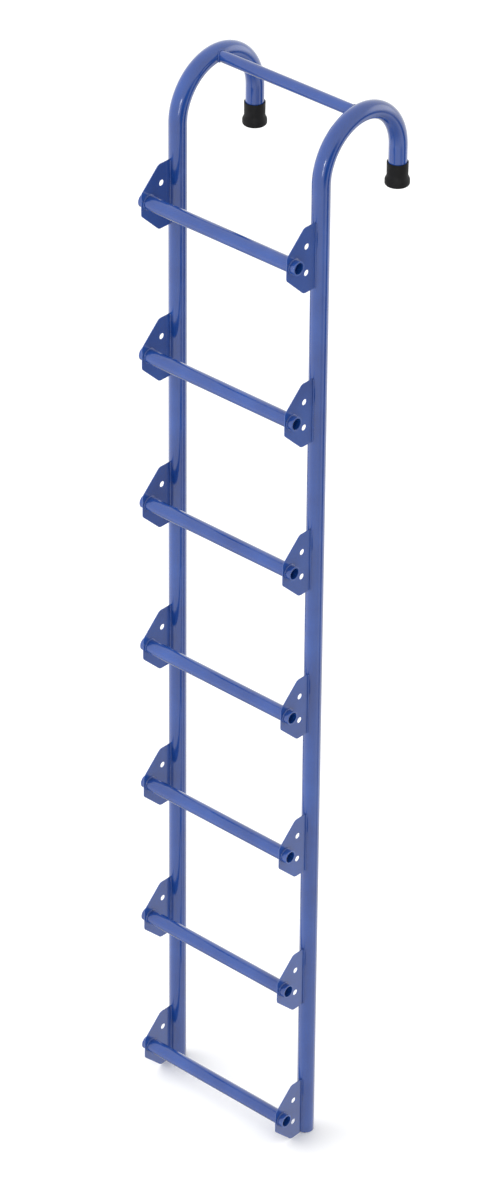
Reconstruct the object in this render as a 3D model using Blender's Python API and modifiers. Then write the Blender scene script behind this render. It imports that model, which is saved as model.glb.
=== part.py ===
"""Hook-over ladder of a pool slide, a welded frame of painted steel pipe.

Two rails stand side by side. The top of each bends over backwards into a hook whose
short leg wears a rubber tip. Seven pipe rungs run across the front of the rails. Each
rung passes through a pair of bracket plates, which are welded to the rails' fronts and
have two open bolt holes. A thinner pipe joins the two hooks.

The origin is the hook seat: the lowest point of the hooks' crown, midway between the
hooks. +X is to the right of a person who faces the rungs, +Y points away from that
person, and +Z is up. Lengths are in metres.
"""
import math

import bpy
import bmesh
from mathutils import Matrix, Vector

# Pipes: outer diameters and walls of 1 in, 3/4 in and 1/2 in schedule 40 steel pipe.
RAIL_OD = 0.0334
RAIL_WALL = 0.0034
RUNG_OD = 0.0267
RUNG_WALL = 0.0029
CROSSBAR_OD = 0.0213
CROSSBAR_WALL = 0.0028

# Frame.
RAIL_SPACING = 0.3302          # 13 in between the rails' axes
RUNG_COUNT = 7
RUNG_PITCH = 0.3048            # 12 in
RUNG_LENGTH = 0.3610
RUNG_SETBACK = 0.0710          # from the rails' axes forward to the rungs' axes
BEND_RADIUS = 0.0991           # of the hooks' centreline
TOP_RUNG_DROP = 0.1270         # from the bend's centre down to the top rung
LEG_END_DROP = 0.0688          # from the bend's centre down to the end of the hook's leg
CROSSBAR_ANGLE = math.radians(2.4)   # from the hooks' crown towards the rails

# Bracket plates.
PLATE_THICKNESS = 0.0015
PLATE_OFFSET = 0.0030          # from a rail's axis outwards to the plate's middle
PLATE_HALF_HEIGHT = 0.0635
PLATE_REACH = 0.0890           # from the rail's axis to the plate's front edge
PLATE_SHOULDER = 0.0450        # where the level top edge turns down, from the rail's axis
PLATE_NOSE_HALF = 0.0215       # half the height of the straight front edge
SHOULDER_ROUND = 0.0130
NOSE_ROUND = 0.0090
BOLT_HOLE_DIAMETER = 0.0111
BOLT_SETBACK = 0.0385          # from the rail's axis to the bolt holes
BOLT_HALF_SPACING = 0.0254

# Rubber tips.
TIP_HEIGHT = 0.0440
TIP_FLOOR = 0.0060
TIP_NECK_RADIUS = 0.0191
TIP_FOOT_RADIUS = 0.0221
TIP_FOOT_HEIGHT = 0.0090
TIP_FLARE_TOP = 0.0190
TIP_EDGE_ROUND = 0.0035
TIP_RIM_ROUND = 0.0009

# Making.
GAP = 0.0003                   # between pieces that touch
MERGE = 0.00001
PIPE_SIDES = 20
BEND_STEPS = 20
BOLT_HOLE_SIDES = 12
CORNER_STEPS = 4
TIP_SIDES = 24

# Places that follow from the dimensions.
BEND_CENTRE_Z = RAIL_OD / 2 - BEND_RADIUS
TOP_RUNG_Z = BEND_CENTRE_Z - TOP_RUNG_DROP
LEG_END_Z = BEND_CENTRE_Z - LEG_END_DROP
BOTTOM_RUNG_Z = TOP_RUNG_Z - (RUNG_COUNT - 1) * RUNG_PITCH
RAIL_FOOT_Z = BOTTOM_RUNG_Z - PLATE_HALF_HEIGHT
RAIL_Y = -BEND_RADIUS
RUNG_Y = RAIL_Y - RUNG_SETBACK
SIDES = {"left": -1, "right": 1}

BLUE = (0.075, 0.115, 0.405, 1.0)
BLACK = (0.010, 0.010, 0.011, 1.0)


def clear_scene():
    """Remove every object that a new file starts with."""
    for obj in list(bpy.data.objects):
        bpy.data.objects.remove(obj)


def new_collection(name):
    """Add a collection to the scene and return it."""
    collection = bpy.data.collections.new(name)
    bpy.context.scene.collection.children.link(collection)
    return collection


def new_material(name, colour, roughness, coat):
    """Make a Principled material of one colour."""
    material = bpy.data.materials.new(name)
    material.use_nodes = True
    shader = material.node_tree.nodes["Principled BSDF"]
    shader.inputs["Base Color"].default_value = colour
    shader.inputs["Roughness"].default_value = roughness
    shader.inputs["Metallic"].default_value = 0.0
    shader.inputs["Coat Weight"].default_value = coat
    return material


def painted(name):
    """The glossy blue paint of one welded piece."""
    return new_material(name + "_paint", BLUE, 0.30, 0.5)


def rubber(name):
    """The black rubber of one tip."""
    return new_material(name + "_rubber", BLACK, 0.55, 0.0)


def place(name, data, material, location=(0.0, 0.0, 0.0)):
    """Put a mesh or a curve into the ladder as a named object under its origin."""
    obj = bpy.data.objects.new(name, data)
    obj.location = location
    obj.parent = bpy.data.objects["ladder_origin"]
    data.materials.append(material)
    bpy.data.collections["pool_slide_ladder"].objects.link(obj)
    return obj


def arc(centre, radius, start, end, steps):
    """Points along an arc in a plane, from one angle to another, both ends included."""
    points = []
    for i in range(steps + 1):
        angle = start + (end - start) * i / steps
        points.append((centre[0] + radius * math.cos(angle),
                       centre[1] + radius * math.sin(angle)))
    return points


def rounded_corner(before, corner, after, radius, steps):
    """Points of the arc that rounds a corner between two straight edges."""
    corner = Vector(corner)
    inward = (Vector(before) - corner).normalized()
    outward = (Vector(after) - corner).normalized()
    half = inward.angle(outward) / 2
    centre = corner + (inward + outward).normalized() * radius / math.sin(half)
    reach = radius / math.tan(half)
    first = corner + inward * reach - centre
    last = corner + outward * reach - centre
    start = math.atan2(first.y, first.x)
    turn = (math.atan2(last.y, last.x) - start + math.pi) % (2 * math.pi) - math.pi
    return arc(centre, radius, start, start + turn, steps)


def hollow(obj, wall):
    """Give an open tube its wall, inwards from the outer surface."""
    solidify = obj.modifiers.new("wall", "SOLIDIFY")
    solidify.thickness = wall
    solidify.offset = -1.0
    solidify.use_even_offset = True
    return obj


def open_cylinder(name, diameter, length, sides):
    """A smooth-shaded open cylinder mesh along X, centred on the origin."""
    mesh = bpy.data.meshes.new(name)
    shape = bmesh.new()
    bmesh.ops.create_cone(shape, cap_ends=False, segments=sides, radius1=diameter / 2,
                          radius2=diameter / 2, depth=length,
                          matrix=Matrix.Rotation(math.pi / 2, 4, "Y"))
    shape.to_mesh(mesh)
    shape.free()
    mesh.shade_smooth()
    return mesh


def rail_path():
    """The rail's centreline in its own plane, from its foot, over the bend, to the leg's end."""
    points = [(RAIL_Y, RAIL_FOOT_Z)]
    points += arc((0.0, BEND_CENTRE_Z), BEND_RADIUS, math.pi, 0.0, BEND_STEPS)
    points.append((BEND_RADIUS, LEG_END_Z))
    return points


def add_rail(side):
    """One rail with its hook: a bent pipe that is open at both ends."""
    name = side + "_rail"
    curve = bpy.data.curves.new(name, "CURVE")
    curve.dimensions = "3D"
    curve.bevel_depth = RAIL_OD / 2
    curve.bevel_resolution = (PIPE_SIDES - 4) // 2
    spline = curve.splines.new("POLY")
    path = rail_path()
    spline.points.add(len(path) - 1)
    for point, (y, z) in zip(spline.points, path):
        point.co = (0.0, y, z, 1.0)
    spline.use_smooth = True
    rail = place(name, curve, painted(name), (SIDES[side] * RAIL_SPACING / 2, 0.0, 0.0))
    return hollow(rail, RAIL_WALL)


def add_rung(number):
    """One rung: a straight pipe across both rails, open at both ends."""
    name = "rung_%d" % number
    height = BOTTOM_RUNG_Z + (number - 1) * RUNG_PITCH
    mesh = open_cylinder(name, RUNG_OD, RUNG_LENGTH, PIPE_SIDES)
    rung = place(name, mesh, painted(name), (0.0, RUNG_Y, height))
    return hollow(rung, RUNG_WALL)


def add_hook_cutter(side):
    """A ring that follows one hook's bend, a gap wider than the pipe, for the crossbar's cope."""
    bpy.ops.mesh.primitive_torus_add(
        major_radius=BEND_RADIUS, minor_radius=RAIL_OD / 2 + GAP,
        major_segments=2 * BEND_STEPS, minor_segments=PIPE_SIDES + 4,
        rotation=(0.0, math.pi / 2, 0.0),
        location=(SIDES[side] * RAIL_SPACING / 2, 0.0, BEND_CENTRE_Z))
    cutter = bpy.context.object
    cutter.name = side + "_hook_cutter"
    for collection in list(cutter.users_collection):
        collection.objects.unlink(cutter)
    bpy.data.collections["cutters"].objects.link(cutter)
    cutter.hide_render = True
    cutter.display_type = "WIRE"
    return cutter


def add_crossbar():
    """The thin pipe between the hooks, its ends coped to the hooks' tubes."""
    name = "hook_crossbar"
    mesh = open_cylinder(name, CROSSBAR_OD, RAIL_SPACING, PIPE_SIDES)
    place_y = -BEND_RADIUS * math.sin(CROSSBAR_ANGLE)
    place_z = BEND_CENTRE_Z + BEND_RADIUS * math.cos(CROSSBAR_ANGLE)
    crossbar = place(name, mesh, painted(name), (0.0, place_y, place_z))
    hollow(crossbar, CROSSBAR_WALL)
    for side in SIDES:
        cope = crossbar.modifiers.new(side + "_cope", "BOOLEAN")
        cope.operation = "DIFFERENCE"
        cope.solver = "EXACT"
        cope.object = add_hook_cutter(side)
    return crossbar


def plate_outline():
    """The bracket plate's edge, from the lower back corner round the front to the upper one.

    The first coordinate is the distance forward of the rail's axis, the second the height
    above the rung.
    """
    back = RAIL_OD / 2 + GAP
    corners = [(back, -PLATE_HALF_HEIGHT),
               (PLATE_SHOULDER, -PLATE_HALF_HEIGHT),
               (PLATE_REACH, -PLATE_NOSE_HALF),
               (PLATE_REACH, PLATE_NOSE_HALF),
               (PLATE_SHOULDER, PLATE_HALF_HEIGHT),
               (back, PLATE_HALF_HEIGHT)]
    rounds = [SHOULDER_ROUND, NOSE_ROUND, NOSE_ROUND, SHOULDER_ROUND]
    outline = [corners[0]]
    for i, radius in enumerate(rounds, start=1):
        outline += rounded_corner(corners[i - 1], corners[i], corners[i + 1],
                                  radius, CORNER_STEPS)
    outline.append(corners[-1])
    return outline


def circle(centre, radius, sides):
    """A closed ring of points."""
    return arc(centre, radius, 0.0, 2 * math.pi * (sides - 1) / sides, sides - 1)


def plate_curve():
    """The plate as a flat outline with its rung hole and its two bolt holes."""
    curve = bpy.data.curves.new("bracket_plate", "CURVE")
    curve.dimensions = "2D"
    curve.fill_mode = "BOTH"
    curve.extrude = PLATE_THICKNESS / 2
    loops = [plate_outline(), circle((RUNG_SETBACK, 0.0), RUNG_OD / 2 + GAP, PIPE_SIDES)]
    for height in (-BOLT_HALF_SPACING, BOLT_HALF_SPACING):
        loops.append(circle((BOLT_SETBACK, height), BOLT_HOLE_DIAMETER / 2, BOLT_HOLE_SIDES))
    for loop in loops:
        spline = curve.splines.new("POLY")
        spline.points.add(len(loop) - 1)
        spline.use_cyclic_u = True
        spline.use_smooth = False
        for point, (forward, height) in zip(spline.points, loop):
            point.co = (forward, height, 0.0, 1.0)
    return curve


def add_plate(side, number):
    """One bracket plate, standing on edge in front of its rail."""
    name = "%s_plate_%d" % (side, number)
    height = BOTTOM_RUNG_Z + (number - 1) * RUNG_PITCH
    x = SIDES[side] * (RAIL_SPACING / 2 + PLATE_OFFSET)
    plate = place(name, plate_curve(), painted(name), (x, RAIL_Y, height))
    plate.rotation_euler = (math.pi / 2, 0.0, -math.pi / 2)
    return plate


def tip_profile():
    """Half the tip's section, as (radius, height above its sole), from the socket's floor
    up the inside, over the rim and down the outside to the sole."""
    socket = RAIL_OD / 2 + GAP
    profile = [(0.0, TIP_FLOOR), (socket, TIP_FLOOR)]
    profile += arc((socket + TIP_RIM_ROUND, TIP_HEIGHT - TIP_RIM_ROUND),
                   TIP_RIM_ROUND, math.pi, math.pi / 2, 2)
    profile += arc((TIP_NECK_RADIUS - TIP_RIM_ROUND, TIP_HEIGHT - TIP_RIM_ROUND),
                   TIP_RIM_ROUND, math.pi / 2, 0.0, 2)
    for i in range(CORNER_STEPS + 1):
        t = i / CORNER_STEPS
        ease = t * t * (3 - 2 * t)
        radius = TIP_NECK_RADIUS + (TIP_FOOT_RADIUS - TIP_NECK_RADIUS) * ease
        profile.append((radius, TIP_FLARE_TOP + (TIP_FOOT_HEIGHT - TIP_FLARE_TOP) * t))
    profile += arc((TIP_FOOT_RADIUS - TIP_EDGE_ROUND, TIP_EDGE_ROUND),
                   TIP_EDGE_ROUND, 0.0, -math.pi / 2, CORNER_STEPS)
    profile.append((0.0, 0.0))
    return profile


def add_tip(side):
    """One rubber tip, turned about the hook leg's axis, that the leg stands in."""
    name = side + "_hook_tip"
    mesh = bpy.data.meshes.new(name)
    shape = bmesh.new()
    ring = [shape.verts.new((radius, 0.0, height)) for radius, height in tip_profile()]
    for first, second in zip(ring, ring[1:]):
        shape.edges.new((first, second))
    shape.to_mesh(mesh)
    shape.free()
    sole = LEG_END_Z - GAP - TIP_FLOOR
    tip = place(name, mesh, rubber(name), (SIDES[side] * RAIL_SPACING / 2, BEND_RADIUS, sole))
    screw = tip.modifiers.new("turn", "SCREW")
    screw.steps = TIP_SIDES
    screw.render_steps = TIP_SIDES
    screw.use_merge_vertices = True
    screw.merge_threshold = MERGE
    screw.use_smooth_shade = True
    return tip


def build():
    """Make the whole ladder."""
    clear_scene()
    new_collection("pool_slide_ladder")
    new_collection("cutters")
    origin = bpy.data.objects.new("ladder_origin", None)
    bpy.data.collections["pool_slide_ladder"].objects.link(origin)
    for side in SIDES:
        add_rail(side)
        add_tip(side)
    add_crossbar()
    for number in range(1, RUNG_COUNT + 1):
        add_rung(number)
        for side in SIDES:
            add_plate(side, number)


build()
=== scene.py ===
"""Looks of the hook-over ladder of a pool slide.

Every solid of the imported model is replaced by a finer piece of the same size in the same
place: pipes with rounded cut ends, bracket plates with eased edges, weld beads where the
pieces meet, and moulded rubber tips. Lengths are in metres.
"""

import math

import bpy
import bmesh
from mathutils import Matrix, Vector, noise


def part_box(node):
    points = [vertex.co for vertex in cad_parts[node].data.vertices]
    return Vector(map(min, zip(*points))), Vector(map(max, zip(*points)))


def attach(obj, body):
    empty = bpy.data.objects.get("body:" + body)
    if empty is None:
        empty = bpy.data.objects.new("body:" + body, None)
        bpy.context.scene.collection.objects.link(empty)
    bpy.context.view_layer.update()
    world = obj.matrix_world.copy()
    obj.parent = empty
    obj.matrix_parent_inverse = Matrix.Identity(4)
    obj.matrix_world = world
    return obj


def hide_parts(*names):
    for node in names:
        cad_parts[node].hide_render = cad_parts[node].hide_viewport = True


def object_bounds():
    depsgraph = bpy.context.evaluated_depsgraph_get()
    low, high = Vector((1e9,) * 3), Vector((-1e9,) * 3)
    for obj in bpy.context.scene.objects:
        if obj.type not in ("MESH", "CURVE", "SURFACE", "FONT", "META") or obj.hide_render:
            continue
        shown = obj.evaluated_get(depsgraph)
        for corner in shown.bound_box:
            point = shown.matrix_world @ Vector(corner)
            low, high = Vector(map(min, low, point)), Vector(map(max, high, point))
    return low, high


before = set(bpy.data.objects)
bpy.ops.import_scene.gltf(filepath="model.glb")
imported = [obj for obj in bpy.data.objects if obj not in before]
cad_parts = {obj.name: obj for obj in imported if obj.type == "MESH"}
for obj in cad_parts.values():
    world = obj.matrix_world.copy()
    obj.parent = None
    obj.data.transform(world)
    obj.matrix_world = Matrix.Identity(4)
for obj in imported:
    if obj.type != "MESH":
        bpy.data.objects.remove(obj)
cad_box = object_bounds()

SIDES = {"left": -1, "right": 1}
RUNG_COUNT = sum(1 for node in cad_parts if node.startswith("rung_"))
X, Y, Z = Vector((1, 0, 0)), Vector((0, 1, 0)), Vector((0, 0, 1))

# Pipes. Their outer sizes are the frame's; the walls are those of schedule 40 pipe.
RAIL_WALL = 0.0034
RUNG_WALL = 0.0029
CROSSBAR_WALL = 0.0028
END_ROUND = 0.0005             # radius on the edges of a cut pipe end
EDGE_WEAR = 0.0015             # how far the paint is thinned from a cut edge
PIPE_SIDES = 64
STRAIGHT_STEP = 0.05           # between a straight pipe's rings
BEND_STEPS = 56
CROSSBAR_STEPS = 8             # from the crossbar's middle to each end
ROUND_ANGLES = (0.0, math.pi / 6, math.pi / 3, math.pi / 2)   # steps of a small round

# Bracket plates, measured forward from the rail's axis and up from the rung.
PLATE_SHOULDER = 0.0450
PLATE_NOSE_HALF = 0.0215
SHOULDER_ROUND = 0.0130
NOSE_ROUND = 0.0090
PLATE_EDGE = 0.0003            # radius on the plate's edges
BOLT_HOLE_RADIUS = 0.00555
BOLT_SETBACK = 0.0385
BOLT_HALF_SPACING = 0.0254
FIT_GAP = 0.0003               # between a piece and the neighbour that it is fitted to
CORNER_STEPS = 10
RUNG_HOLE_SIDES = 64
BOLT_HOLE_SIDES = 40

# Weld beads.
SEAM_BEAD = 0.0017             # radius of the beads between plate and rail
RING_BEAD = 0.0015             # radius of the beads round rungs and crossbar
BEAD_SIDES = 10
RIPPLE_PITCH = 0.0040
RIPPLE_STEPS = 5
RIPPLE_DEPTH = 0.10            # share of the radius
RIPPLE_LEVEL = 0.6             # where on a puddle the bead has its plain radius
WANDER_DEPTH = 0.12            # share of the radius
WANDER_RATE = 90.0             # wanders per metre
BEAD_END = 0.02                # how blunt a bead's end is, as a share of its radius
# How far a bead's axis lies from the joint's corner, as a share of its radius.
SEAM_OUT = 0.30
SEAM_FORWARD = 0.20
RING_OUT = 0.35
RING_UP = 0.15
SEAM_INSET = 0.6               # from the plate's top and bottom

# Rubber tips.
TIP_FLOOR = 0.0060
TIP_NECK_RADIUS = 0.0191
TIP_FOOT_HEIGHT = 0.0090
TIP_FLARE_TOP = 0.0190
TIP_EDGE_ROUND = 0.0035
TIP_RIM_ROUND = 0.0009
TIP_NECK_TAPER = 0.0003        # how much narrower the neck is at its foot
TIP_FLOOR_CORNER = 0.0006
GROOVE_RADII = (0.0150, 0.0110, 0.0070)
GROOVE_DEPTH = 0.0008
GROOVE_HALF_TOP = 0.0010
GROOVE_HALF_FLOOR = 0.0006
SOLE_CENTRE = 0.0040
TIP_SIDES = 72
TIP_NECK_STEPS = 8
TIP_FLARE_STEPS = 12
TIP_ROUND_STEPS = 8

# Studio dome: its even brightness, and soft patches that are brighter or darker. A patch is
# (azimuth, elevation, inner angle, outer angle, amount), with its angles in degrees.
DOME_BRIGHTNESS = 1.03
DOME_PATCHES = [
    (139.0, 9.0, 2.5, 6.5, 8.0),               # soft box
    (140.0, -3.0, 3.0, 8.0, 3.0),              # its lower half
    (98.0, -8.0, 10.0, 27.0, -0.97),           # dark card beside the ladder
    (28.0, 5.0, 8.0, 24.0, 1.0),               # bright wall behind the ladder
    (51.0, -24.0, 4.0, 16.0, -1.0),            # dark card low behind the ladder
    (0.0, -90.0, 25.0, 60.0, -0.65),           # grey ground
]

# Key light, as seen from the middle of the ladder's box.
KEY_AZIMUTH = 228.0
KEY_ELEVATION = 35.0
KEY_DISTANCE = 8.0
KEY_SIZE = 8.0
KEY_POWER = 420.0

FLOOR_SIZE = 60.0              # from its middle to its edge
FLOOR_GAP = 0.001              # below the rails' feet

# Camera, as seen from the middle of the ladder's box.
CAMERA_AZIMUTH = 41.982
CAMERA_ELEVATION = 32.657
CAMERA_ROLL = -0.496
CAMERA_DISTANCE = 9.25684
CAMERA_LENS = 152.78
AIM_OFFSET = Vector((-0.05314, -0.00235, -0.00389))
CAMERA_SENSOR = 36.0
CAMERA_REACH = 200.0


def middle(node):
    """The middle of a node's box."""
    low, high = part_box(node)
    return (Vector(low) + Vector(high)) / 2


def extent(node):
    """The size of a node's box along x, y and z."""
    low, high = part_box(node)
    return Vector(high) - Vector(low)


RAIL_RADIUS = extent("left_rail").x / 2
RUNG_RADIUS = extent("rung_1").z / 2
CROSSBAR_RADIUS = extent("hook_crossbar").z / 2
RAIL_X = middle("right_rail").x
RAIL_FOOT_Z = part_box("right_rail")[0][2]
BEND_RADIUS = extent("right_rail").y / 2 - RAIL_RADIUS
BEND_CENTRE_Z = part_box("right_rail")[1][2] - RAIL_RADIUS - BEND_RADIUS
LEG_END_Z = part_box("right_hook_tip")[0][2] + TIP_FLOOR + FIT_GAP
RAIL_Y = -BEND_RADIUS


# Materials

def node_maker(material):
    """The material's node tree, its shader, and a function that adds and wires a node.

    An input is named by its socket, or by i and its number, such as i0.
    """
    material.use_nodes = True
    tree = material.node_tree

    def add(kind, settings=(), **inputs):
        node = tree.nodes.new(kind)
        for key, value in dict(settings).items():
            setattr(node, key, value)
        for key, value in inputs.items():
            numbered = key[0] == "i" and key[1:].isdigit()
            socket = node.inputs[int(key[1:]) if numbered else key]
            if isinstance(value, bpy.types.NodeSocket):
                tree.links.new(value, socket)
            else:
                socket.default_value = value
        return node

    return tree, tree.nodes["Principled BSDF"], add


def colour_ramp(add, factor, stops):
    """A colour ramp through (position, colour) stops."""
    ramp = add("ShaderNodeValToRGB", i0=factor)
    elements = ramp.color_ramp.elements
    for element, (position, colour) in zip(elements, (stops[0], stops[-1])):
        element.position = position
        element.color = (*colour, 1.0)
    for position, colour in stops[1:-1]:
        elements.new(position).color = (*colour, 1.0)
    return ramp.outputs[0]


def paint_material():
    """Glossy blue powder coat: a clear gloss over a slightly uneven, orange-peeled film."""
    material = bpy.data.materials.new("blue_paint")
    tree, shader, add = node_maker(material)
    place = add("ShaderNodeAttribute", {"attribute_name": "straightened"}).outputs["Vector"]
    cloud = add("ShaderNodeTexNoise", i0=place, Scale=9.0, Detail=4.0, Roughness=0.55)
    fleck = add("ShaderNodeTexNoise", i0=place, Scale=700.0, Detail=2.0, Roughness=0.6)
    tone = add("ShaderNodeMath", {"operation": "MULTIPLY_ADD"},
               i0=fleck.outputs["Fac"], i1=0.35, i2=cloud.outputs["Fac"])
    colour = colour_ramp(add, tone.outputs[0], [(0.40, (0.0052, 0.0350, 0.195)),
                                                (0.67, (0.0080, 0.0500, 0.250)),
                                                (0.95, (0.0125, 0.0670, 0.310))])
    near_edge = add("ShaderNodeAttribute", {"attribute_name": "cut_edge"}).outputs["Fac"]
    rubbed = add("ShaderNodeTexNoise", i0=place, Scale=160.0, Detail=3.0, Roughness=0.6)
    patchy = add("ShaderNodeMath", {"operation": "MULTIPLY_ADD"},
                 i0=rubbed.outputs["Fac"], i1=0.9, i2=-0.10)
    thin = add("ShaderNodeMath", {"operation": "MULTIPLY", "use_clamp": True},
               i0=near_edge, i1=patchy.outputs[0])
    worn = add("ShaderNodeMix", {"data_type": "RGBA"}, i0=thin.outputs[0], i6=colour)
    worn.inputs[7].default_value = (0.050, 0.110, 0.340, 1.0)
    tree.links.new(worn.outputs[2], shader.inputs["Base Color"])

    gloss = add("ShaderNodeMapRange", i0=cloud.outputs["Fac"], i1=0.3, i2=0.7, i3=0.10, i4=0.17)
    tree.links.new(gloss.outputs[0], shader.inputs["Roughness"])

    stretch = add("ShaderNodeMapping", i0=place, Scale=(0.02, 1.0, 1.0))
    draw = add("ShaderNodeTexNoise", i0=stretch.outputs[0], Scale=520.0, Detail=2.0, Roughness=0.5)
    peel = add("ShaderNodeTexNoise", i0=place, Scale=420.0, Detail=1.0, Roughness=0.4)
    film = add("ShaderNodeMath", {"operation": "MULTIPLY_ADD"},
               i0=draw.outputs["Fac"], i1=0.35, i2=peel.outputs["Fac"])
    bump = add("ShaderNodeBump", Strength=0.16, Distance=0.0003, Height=film.outputs[0])
    tree.links.new(bump.outputs[0], shader.inputs["Normal"])
    tree.links.new(bump.outputs[0], shader.inputs["Coat Normal"])
    shader.inputs["Coat Weight"].default_value = 1.0
    shader.inputs["Coat Roughness"].default_value = 0.03
    return material


def rubber_material():
    """Black moulded rubber with a fine grain and paler rubbed patches."""
    material = bpy.data.materials.new("black_rubber")
    tree, shader, add = node_maker(material)
    place = add("ShaderNodeAttribute", {"attribute_name": "straightened"}).outputs["Vector"]
    cloud = add("ShaderNodeTexNoise", i0=place, Scale=60.0, Detail=5.0, Roughness=0.6)
    grain = add("ShaderNodeTexNoise", i0=place, Scale=1800.0, Detail=3.0, Roughness=0.6)
    colour = colour_ramp(add, cloud.outputs["Fac"], [(0.30, (0.0050, 0.0050, 0.0052)),
                                                     (0.55, (0.0065, 0.0065, 0.0068)),
                                                     (0.80, (0.0110, 0.0108, 0.0110))])
    tree.links.new(colour, shader.inputs["Base Color"])
    gloss = add("ShaderNodeMapRange", i0=cloud.outputs["Fac"], i1=0.3, i2=0.7, i3=0.62, i4=0.48)
    tree.links.new(gloss.outputs[0], shader.inputs["Roughness"])
    bump = add("ShaderNodeBump", Strength=0.25, Distance=0.0002, Height=grain.outputs["Fac"])
    tree.links.new(bump.outputs[0], shader.inputs["Normal"])
    shader.inputs["Specular IOR Level"].default_value = 0.22
    return material


def floor_material():
    """A plain pale floor."""
    material = bpy.data.materials.new("pale_floor")
    shader = node_maker(material)[1]
    shader.inputs["Base Color"].default_value = (0.97, 0.97, 0.97, 1.0)
    shader.inputs["Roughness"].default_value = 0.9
    shader.inputs["Specular IOR Level"].default_value = 0.0
    return material


# Shapes

def ring(centre, across, up, radius, sides):
    """Points round a circle in the plane of two unit vectors."""
    points = []
    for i in range(sides):
        angle = 2 * math.pi * i / sides
        points.append(centre + across * radius * math.cos(angle) + up * radius * math.sin(angle))
    return points


def skin(shape, rings, closed):
    """Faces between successive rings of points; closed joins the last ring to the first."""
    rows = [[shape.verts.new(point) for point in row] for row in rings]
    pairs = list(zip(rows, rows[1:]))
    if closed:
        pairs.append((rows[-1], rows[0]))
    for row, other in pairs:
        for i in range(len(row)):
            j = (i + 1) % len(row)
            shape.faces.new((row[i], row[j], other[j], other[i]))
    return rows


def pipe_profile(length, outer, wall, stops):
    """(distance, radius) pairs round a pipe's wall: along the outside, over one rounded end,
    back along the bore and over the other end."""
    inner = outer - wall
    quarter = [(math.sin(a), math.cos(a)) for a in ROUND_ANGLES]
    far = [(length - END_ROUND + END_ROUND * s, outer - END_ROUND + END_ROUND * c)
           for s, c in quarter]
    far += [(length - END_ROUND + END_ROUND * s, inner + END_ROUND - END_ROUND * c)
            for s, c in reversed(quarter)]
    near = [(length - distance, radius) for distance, radius in reversed(far)]
    near_bore = near[:len(quarter)]
    near_outside = near[len(quarter):]
    outside = [(stop, outer) for stop in stops]
    bore = [(stop, inner) for stop in reversed(stops)]
    return near_outside + outside + far + bore + near_bore


def edge_nearness(distance, length):
    """1 at a pipe's cut ends, falling to 0 a little way in."""
    return max(0.0, 1.0 - min(distance, length - distance) / EDGE_WEAR)


def steps_between(start, end, step):
    """Evenly spaced values strictly between two values, no further apart than a step."""
    count = max(1, math.ceil((end - start) / step))
    return [start + (end - start) * i / count for i in range(1, count)]


def finish_piece(name, shape, material, straightened=None, edges=None, nodes=()):
    """Turn a bmesh into a piece that rides on the ladder and stands for CAD nodes.

    straightened holds each vertex's place on the unbent pipe, and edges how near it is to a
    cut edge, from 0 to 1.
    """
    bmesh.ops.recalc_face_normals(shape, faces=shape.faces)
    mesh = bpy.data.meshes.new(name)
    shape.to_mesh(mesh)
    shape.free()
    mesh.shade_smooth()
    mesh.materials.append(material)
    flat = straightened or [vertex.co.copy() for vertex in mesh.vertices]
    attribute = mesh.attributes.new("straightened", "FLOAT_VECTOR", "POINT")
    for item, place in zip(attribute.data, flat):
        item.vector = place
    nearness = mesh.attributes.new("cut_edge", "FLOAT", "POINT")
    nearness.data.foreach_set("value", edges or [0.0] * len(mesh.vertices))
    piece = bpy.data.objects.new(name, mesh)
    bpy.context.scene.collection.objects.link(piece)
    normals = piece.modifiers.new("normals", "WEIGHTED_NORMAL")
    normals.keep_sharp = True
    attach(piece, "root")
    if nodes:
        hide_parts(*nodes)
    return piece


def rail_place(distance, x):
    """A point of the rail's centreline, so far along it, and the two directions across it."""
    straight = BEND_CENTRE_Z - RAIL_FOOT_Z
    bend = math.pi * BEND_RADIUS
    if distance <= straight:
        return Vector((x, RAIL_Y, RAIL_FOOT_Z + distance)), X, -Y
    if distance >= straight + bend:
        drop = distance - straight - bend
        return Vector((x, BEND_RADIUS, BEND_CENTRE_Z - drop)), X, Y
    turn = (distance - straight) / BEND_RADIUS
    out = Vector((0, -math.cos(turn), math.sin(turn)))
    return Vector((x, 0, BEND_CENTRE_Z)) + out * BEND_RADIUS, X, out


def add_rail(side, material):
    """A rail with its hook, a bent pipe that is open at both ends."""
    straight = BEND_CENTRE_Z - RAIL_FOOT_Z
    bend = math.pi * BEND_RADIUS
    length = straight + bend + BEND_CENTRE_Z - LEG_END_Z
    stops = [EDGE_WEAR] + steps_between(EDGE_WEAR, straight, STRAIGHT_STEP) + [straight]
    stops += [straight + bend * i / BEND_STEPS for i in range(1, BEND_STEPS + 1)]
    stops += steps_between(straight + bend, length - EDGE_WEAR, STRAIGHT_STEP)
    stops.append(length - EDGE_WEAR)
    x = SIDES[side] * RAIL_X
    rings = []
    straightened = []
    edges = []
    for distance, radius in pipe_profile(length, RAIL_RADIUS, RAIL_WALL, stops):
        centre, across, up = rail_place(distance, x)
        rings.append(ring(centre, across, up, radius, PIPE_SIDES))
        straightened += ring(X * (distance + x), Y, Z, radius, PIPE_SIDES)
        edges += [edge_nearness(distance, length)] * PIPE_SIDES
    shape = bmesh.new()
    skin(shape, rings, closed=True)
    node = side + "_rail"
    return finish_piece(node + "_pipe", shape, material, straightened, edges, [node])


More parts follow.
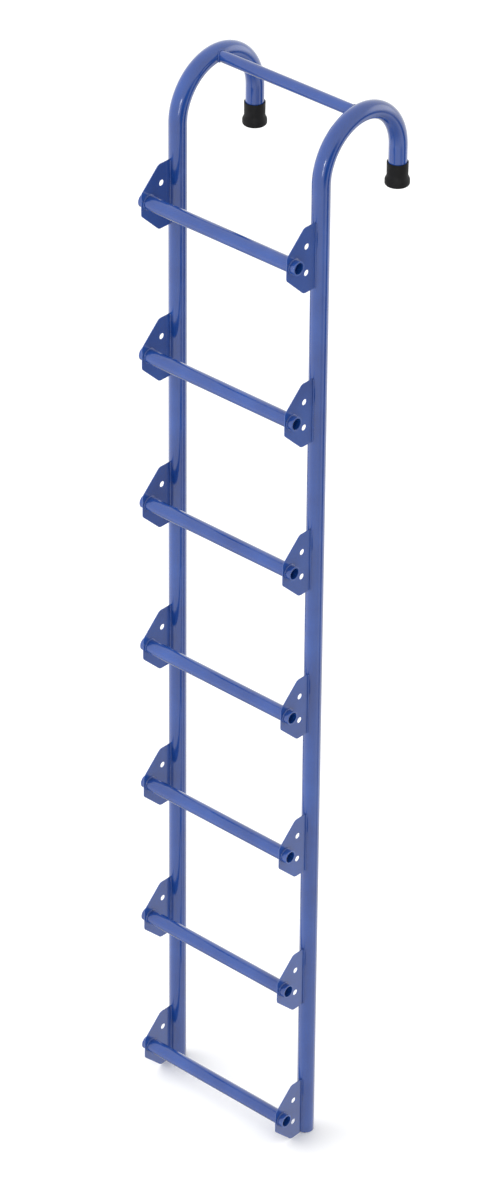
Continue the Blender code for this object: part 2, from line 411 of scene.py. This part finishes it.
def add_rung(node, material):
    """A rung, a straight pipe that is open at both ends."""
    centre = middle(node)
    length = extent(node).x
    start = centre - X * length / 2
    stops = [EDGE_WEAR] + steps_between(EDGE_WEAR, length - EDGE_WEAR, STRAIGHT_STEP)
    stops.append(length - EDGE_WEAR)
    rings = []
    straightened = []
    edges = []
    for distance, radius in pipe_profile(length, RUNG_RADIUS, RUNG_WALL, stops):
        rings.append(ring(start + X * distance, Y, Z, radius, PIPE_SIDES))
        straightened += ring(X * (distance + centre.z), Y, Z, radius, PIPE_SIDES)
        edges += [edge_nearness(distance, length)] * PIPE_SIDES
    shape = bmesh.new()
    skin(shape, rings, closed=True)
    return finish_piece(node + "_pipe", shape, material, straightened, edges,
                        [node])


def cope_reach(y, z):
    """How far along x a point of the crossbar's surface gets before it meets a hook's pipe."""
    off_axis = math.hypot(y, z - BEND_CENTRE_Z) - BEND_RADIUS
    return RAIL_X - math.sqrt(RAIL_RADIUS ** 2 - off_axis ** 2) - FIT_GAP


def crossbar_ring(radius, share, sides):
    """A ring of the crossbar's wall, at a share of the way from its middle to its coped end."""
    centre = middle("hook_crossbar")
    points = []
    for point in ring(centre, Y, Z, radius, sides):
        points.append(Vector((share * cope_reach(point.y, point.z), point.y, point.z)))
    return points


def add_crossbar(material):
    """The thin pipe between the hooks, its ends coped to them."""
    node = "hook_crossbar"
    shares = [i / CROSSBAR_STEPS for i in range(-CROSSBAR_STEPS, CROSSBAR_STEPS + 1)]
    rings = [crossbar_ring(CROSSBAR_RADIUS, share, PIPE_SIDES) for share in shares]
    bore = CROSSBAR_RADIUS - CROSSBAR_WALL
    rings += [crossbar_ring(bore, share, PIPE_SIDES) for share in reversed(shares)]
    shape = bmesh.new()
    skin(shape, rings, closed=True)
    return finish_piece(node + "_pipe", shape, material, nodes=[node])


def rounded_corner(before, corner, after, radius):
    """Points of the arc that rounds a corner of an outline."""
    inward = (before - corner).normalized()
    outward = (after - corner).normalized()
    half = inward.angle(outward) / 2
    centre = corner + (inward + outward).normalized() * radius / math.sin(half)
    reach = radius / math.tan(half)
    first = corner + inward * reach - centre
    last = corner + outward * reach - centre
    start = math.atan2(first.y, first.x)
    turn = (math.atan2(last.y, last.x) - start + math.pi) % (2 * math.pi) - math.pi
    points = []
    for i in range(CORNER_STEPS + 1):
        angle = start + turn * i / CORNER_STEPS
        points.append(centre + Vector((math.cos(angle), math.sin(angle))) * radius)
    return points


def plate_loops(back, reach, half_height, rung_setback):
    """The plate's outline and its three holes, as loops of (forward, up) points, each with
    the plate's material on its left."""
    corners = [Vector((back, -half_height)),
               Vector((PLATE_SHOULDER, -half_height)),
               Vector((reach, -PLATE_NOSE_HALF)),
               Vector((reach, PLATE_NOSE_HALF)),
               Vector((PLATE_SHOULDER, half_height)),
               Vector((back, half_height))]
    rounds = [SHOULDER_ROUND, NOSE_ROUND, NOSE_ROUND, SHOULDER_ROUND]
    outline = [corners[0]]
    for i, radius in enumerate(rounds, start=1):
        outline += rounded_corner(corners[i - 1], corners[i], corners[i + 1], radius)
    outline.append(corners[-1])
    loops = [outline]
    holes = [((rung_setback, 0.0), RUNG_RADIUS + FIT_GAP, RUNG_HOLE_SIDES)]
    for height in (-BOLT_HALF_SPACING, BOLT_HALF_SPACING):
        holes.append(((BOLT_SETBACK, height), BOLT_HOLE_RADIUS, BOLT_HOLE_SIDES))
    for centre, radius, sides in holes:
        loops.append([Vector(centre) + Vector((math.cos(a), -math.sin(a))) * radius
                      for a in (2 * math.pi * i / sides for i in range(sides))])
    return loops


def inset(loop, amount):
    """A loop moved towards the material on its left."""
    moved = []
    for i, point in enumerate(loop):
        before = (point - loop[i - 1]).normalized()
        after = (loop[(i + 1) % len(loop)] - point).normalized()
        normal = Vector((-before.y - after.y, before.x + after.x)).normalized()
        share = max(0.5, normal.dot(Vector((-before.y, before.x))))
        moved.append(point + normal * amount / share)
    return moved


def add_plate(node, material):
    """A bracket plate with eased edges, standing on edge in front of its rail."""
    low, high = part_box(node)
    centre = middle(node)
    half = (high[0] - low[0]) / 2
    rung_setback = RAIL_Y - middle("rung_1").y
    loops = plate_loops(RAIL_Y - high[1], RAIL_Y - low[1], (high[2] - low[2]) / 2, rung_setback)
    levels = [(-half + PLATE_EDGE * (1 - math.cos(a)), PLATE_EDGE * (1 - math.sin(a)))
              for a in ROUND_ANGLES]
    levels.insert(0, (-half, EDGE_WEAR))
    levels += [(-height, amount) for height, amount in reversed(levels)]
    shape = bmesh.new()
    rims = [[], []]
    edges = []
    for loop in loops:
        rings = []
        for height, amount in levels:
            rings.append([Vector((centre.x + height, RAIL_Y - point.x, centre.z + point.y))
                          for point in inset(loop, amount)])
            edges += [0.0 if amount == EDGE_WEAR else 1.0] * len(loop)
        rows = skin(shape, rings, closed=False)
        for rim, row in zip(rims, (rows[0], rows[-1])):
            rim += [shape.edges.get((row[i - 1], row[i])) for i in range(len(row))]
    for rim in rims:
        bmesh.ops.triangle_fill(shape, use_beauty=True, use_dissolve=False, edges=rim)
    return finish_piece(node + "_steel", shape, material, edges=edges, nodes=[node])


def bead_ring(centre, along, radius):
    """One ring of a weld bead, across its direction."""
    across = along.cross(X if abs(along.x) < 0.9 else Z).normalized()
    return ring(centre, across, across.cross(along).normalized(), radius, BEAD_SIDES)


def ripple(distance, seed):
    """How much a bead's radius grows at a distance along it: overlapping puddles, uneven."""
    puddle = abs(math.sin(math.pi * distance / RIPPLE_PITCH)) - RIPPLE_LEVEL
    wander = noise.noise(Vector((distance * WANDER_RATE, seed, 0.0)))
    return 1.0 + RIPPLE_DEPTH * puddle + WANDER_DEPTH * wander


def straight_bead(shape, start, end, radius, seed):
    """A weld bead along a straight joint, with rounded ends."""
    length = (end - start).length
    along = (end - start) / length
    count = round(length / RIPPLE_PITCH) * RIPPLE_STEPS
    rings = []
    for i in range(count + 1):
        distance = length * i / count
        near_end = min(distance, length - distance) / radius
        taper = math.sqrt(1 - (1 - min(1.0, near_end + BEAD_END)) ** 2)
        rings.append(bead_ring(start + along * distance, along,
                               radius * taper * ripple(distance, seed)))
    rows = skin(shape, rings, closed=False)
    shape.faces.new(rows[0])
    shape.faces.new(rows[-1])


def closed_bead(shape, points, radius, seed):
    """A weld bead round a closed joint."""
    rings = []
    distance = 0.0
    for i, point in enumerate(points):
        along = (points[(i + 1) % len(points)] - points[i - 1]).normalized()
        rings.append(bead_ring(point, along, radius * ripple(distance, seed)))
        distance += (points[(i + 1) % len(points)] - point).length
    skin(shape, rings, closed=True)


def add_plate_welds(side, number, material):
    """The beads that join one plate to its rail and to its rung, on both of its faces."""
    plate = "%s_plate_%d" % (side, number)
    rung = middle("rung_%d" % number)
    low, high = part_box(plate)
    shape = bmesh.new()
    for face, direction in ((low[0], -1), (high[0], 1)):
        seed = number + 20 * direction + 50 * SIDES[side]
        x = face + direction * SEAM_BEAD * SEAM_OUT
        off_axis = abs(x) - RAIL_X
        y = RAIL_Y - math.sqrt(RAIL_RADIUS ** 2 - off_axis ** 2) - SEAM_BEAD * SEAM_FORWARD
        inset_end = SEAM_BEAD * SEAM_INSET
        straight_bead(shape, Vector((x, y, low[2] + inset_end)),
                      Vector((x, y, high[2] - inset_end)), SEAM_BEAD, seed)
        centre = Vector((face + direction * RING_BEAD * RING_OUT, rung.y, rung.z))
        round_way = 2 * math.pi * RUNG_RADIUS
        count = round(round_way / RIPPLE_PITCH) * RIPPLE_STEPS
        closed_bead(shape, ring(centre, Y, Z, RUNG_RADIUS + RING_BEAD * RING_UP, count),
                    RING_BEAD, seed + 0.5)
    return finish_piece(plate + "_welds", shape, material)


def add_crossbar_welds(material):
    """The beads round the crossbar's two coped ends."""
    shape = bmesh.new()
    count = round(2 * math.pi * CROSSBAR_RADIUS / RIPPLE_PITCH) * RIPPLE_STEPS
    for direction in (-1, 1):
        points = crossbar_ring(CROSSBAR_RADIUS + RING_BEAD * RING_UP, direction, count)
        points = [point - X * direction * RING_BEAD * RING_OUT for point in points]
        closed_bead(shape, points, RING_BEAD, 90.0 + direction)
    return finish_piece("hook_crossbar_welds", shape, material)


def tip_profile(foot_radius, height):
    """The tip's closed section as (radius, height above its sole), from the middle of the
    socket's floor up the inside, over the rim, down the outside and in under the sole."""
    socket = RAIL_RADIUS + FIT_GAP
    profile = [(socket * share, TIP_FLOOR) for share in (0.0, 0.3, 0.6, 0.9)]
    profile.append((socket - TIP_FLOOR_CORNER, TIP_FLOOR))
    profile.append((socket, TIP_FLOOR + TIP_FLOOR_CORNER))
    profile += [(socket, TIP_FLOOR + (height - TIP_FLOOR) * share) for share in (0.25, 0.5, 0.75)]
    rim_middle = (socket + TIP_NECK_RADIUS) / 2
    rim_half = (TIP_NECK_RADIUS - socket) / 2
    for i in range(TIP_ROUND_STEPS + 1):
        angle = math.pi * i / TIP_ROUND_STEPS
        profile.append((rim_middle - rim_half * math.cos(angle),
                        height - TIP_RIM_ROUND + TIP_RIM_ROUND * math.sin(angle)))
    neck_foot = TIP_NECK_RADIUS - TIP_NECK_TAPER
    for i in range(1, TIP_NECK_STEPS):
        share = i / TIP_NECK_STEPS
        down = height - TIP_RIM_ROUND + (TIP_FLARE_TOP - height + TIP_RIM_ROUND) * share
        profile.append((TIP_NECK_RADIUS + (neck_foot - TIP_NECK_RADIUS) * share, down))
    for i in range(TIP_FLARE_STEPS + 1):
        share = i / TIP_FLARE_STEPS
        ease = share * share * (3 - 2 * share)
        profile.append((neck_foot + (foot_radius - neck_foot) * ease,
                        TIP_FLARE_TOP + (TIP_FOOT_HEIGHT - TIP_FLARE_TOP) * share))
    for i in range(TIP_ROUND_STEPS + 1):
        angle = math.pi / 2 * i / TIP_ROUND_STEPS
        profile.append((foot_radius - TIP_EDGE_ROUND * (1 - math.cos(angle)),
                        TIP_EDGE_ROUND * (1 - math.sin(angle))))
    for groove in GROOVE_RADII:
        profile += [(groove + GROOVE_HALF_TOP, 0.0), (groove + GROOVE_HALF_FLOOR, GROOVE_DEPTH),
                    (groove - GROOVE_HALF_FLOOR, GROOVE_DEPTH), (groove - GROOVE_HALF_TOP, 0.0)]
    profile += [(SOLE_CENTRE, 0.0), (0.0, 0.0)]
    return profile


def add_tip(side, material):
    """A moulded rubber tip, a flared cup with a grooved sole."""
    node = side + "_hook_tip"
    low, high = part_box(node)
    centre = middle(node)
    profile = tip_profile(extent(node).x / 2, high[2] - low[2])
    rings = [ring(Vector((centre.x, centre.y, low[2] + height)), X, Y, radius, TIP_SIDES)
             for radius, height in profile[1:-1]]
    shape = bmesh.new()
    rows = skin(shape, rings, closed=False)
    for row, (radius, height) in ((rows[0], profile[0]), (rows[-1], profile[-1])):
        hub = shape.verts.new((centre.x, centre.y, low[2] + height))
        for i in range(TIP_SIDES):
            shape.faces.new((row[i - 1], row[i], hub))
    return finish_piece(node + "_rubber", shape, material, nodes=[node])


# Stage

def add_floor():
    """A plain pale floor under the ladder, hidden from reflections."""
    mesh = bpy.data.meshes.new("floor")
    shape = bmesh.new()
    bmesh.ops.create_grid(shape, x_segments=1, y_segments=1, size=FLOOR_SIZE)
    shape.to_mesh(mesh)
    shape.free()
    mesh.materials.append(floor_material())
    floor = bpy.data.objects.new("floor", mesh)
    floor.location.z = RAIL_FOOT_Z - FLOOR_GAP
    bpy.context.scene.collection.objects.link(floor)
    floor.visible_glossy = False


def heading(azimuth, elevation):
    """A unit vector; azimuth 0 is towards +Y and 90 towards +X, in degrees."""
    a, e = math.radians(azimuth), math.radians(elevation)
    return Vector((math.sin(a) * math.cos(e), math.cos(a) * math.cos(e), math.sin(e)))


def add_world():
    """A pale studio dome with softly brighter and darker patches.

    The dome's brightness changes by a patch's whole amount inside its inner angle and by
    nothing past its outer one.
    """
    world = bpy.data.worlds.new("studio")
    bpy.context.scene.world = world
    world.use_nodes = True
    tree = world.node_tree
    way = tree.nodes.new("ShaderNodeTexCoord").outputs["Generated"]
    total = None
    for azimuth, elevation, inner, outer, amount in DOME_PATCHES:
        dot = tree.nodes.new("ShaderNodeVectorMath")
        dot.operation = "DOT_PRODUCT"
        tree.links.new(way, dot.inputs[0])
        dot.inputs[1].default_value = heading(azimuth, elevation)
        part = tree.nodes.new("ShaderNodeMapRange")
        part.interpolation_type = "SMOOTHSTEP"
        tree.links.new(dot.outputs["Value"], part.inputs[0])
        part.inputs[1].default_value = math.cos(math.radians(outer))
        part.inputs[2].default_value = math.cos(math.radians(inner))
        part.inputs[3].default_value = 0.0
        part.inputs[4].default_value = amount
        add = tree.nodes.new("ShaderNodeMath")
        add.operation = "ADD"
        tree.links.new(part.outputs[0], add.inputs[0])
        if total is None:
            add.inputs[1].default_value = DOME_BRIGHTNESS
        else:
            tree.links.new(total, add.inputs[1])
        total = add.outputs[0]
    tree.links.new(total, tree.nodes["Background"].inputs["Strength"])
    tree.nodes["Background"].inputs["Color"].default_value = (1.0, 1.0, 1.0, 1.0)


def add_key_light():
    """A large soft light that points at the ladder's middle, hidden from reflections."""
    data = bpy.data.lights.new("key_light", "AREA")
    data.shape = "SQUARE"
    data.size = KEY_SIZE
    data.energy = KEY_POWER
    light = bpy.data.objects.new("key_light", data)
    way = heading(KEY_AZIMUTH, KEY_ELEVATION)
    light.location = ladder_middle + way * KEY_DISTANCE
    light.rotation_euler = way.to_track_quat("Z", "Y").to_euler()
    light.visible_glossy = False
    bpy.context.scene.collection.objects.link(light)


def add_camera():
    """The camera, turned slightly about its own axis."""
    data = bpy.data.cameras.new("camera")
    data.lens = CAMERA_LENS
    data.sensor_width = CAMERA_SENSOR
    data.clip_end = CAMERA_REACH
    camera = bpy.data.objects.new("camera", data)
    back = heading(180.0 - CAMERA_AZIMUTH, CAMERA_ELEVATION)
    level = Z.cross(back).normalized()
    roll = Matrix.Rotation(-math.radians(CAMERA_ROLL), 3, back)
    right = roll @ level
    up = back.cross(right)
    turn = Matrix((right, up, back)).transposed().to_4x4()
    spot = ladder_middle + AIM_OFFSET + back * CAMERA_DISTANCE
    camera.matrix_world = Matrix.Translation(spot) @ turn
    bpy.context.scene.collection.objects.link(camera)
    bpy.context.scene.camera = camera


ladder_middle = (Vector(cad_box[0]) + Vector(cad_box[1])) / 2
bpy.context.scene.view_settings.view_transform = "Standard"

paint = paint_material()
rubber = rubber_material()
for side in SIDES:
    add_rail(side, paint)
    add_tip(side, rubber)
add_crossbar(paint)
add_crossbar_welds(paint)
for number in range(1, RUNG_COUNT + 1):
    add_rung("rung_%d" % number, paint)
    for side in SIDES:
        add_plate("%s_plate_%d" % (side, number), paint)
        add_plate_welds(side, number, paint)

add_floor()
add_world()
add_key_light()
add_camera()
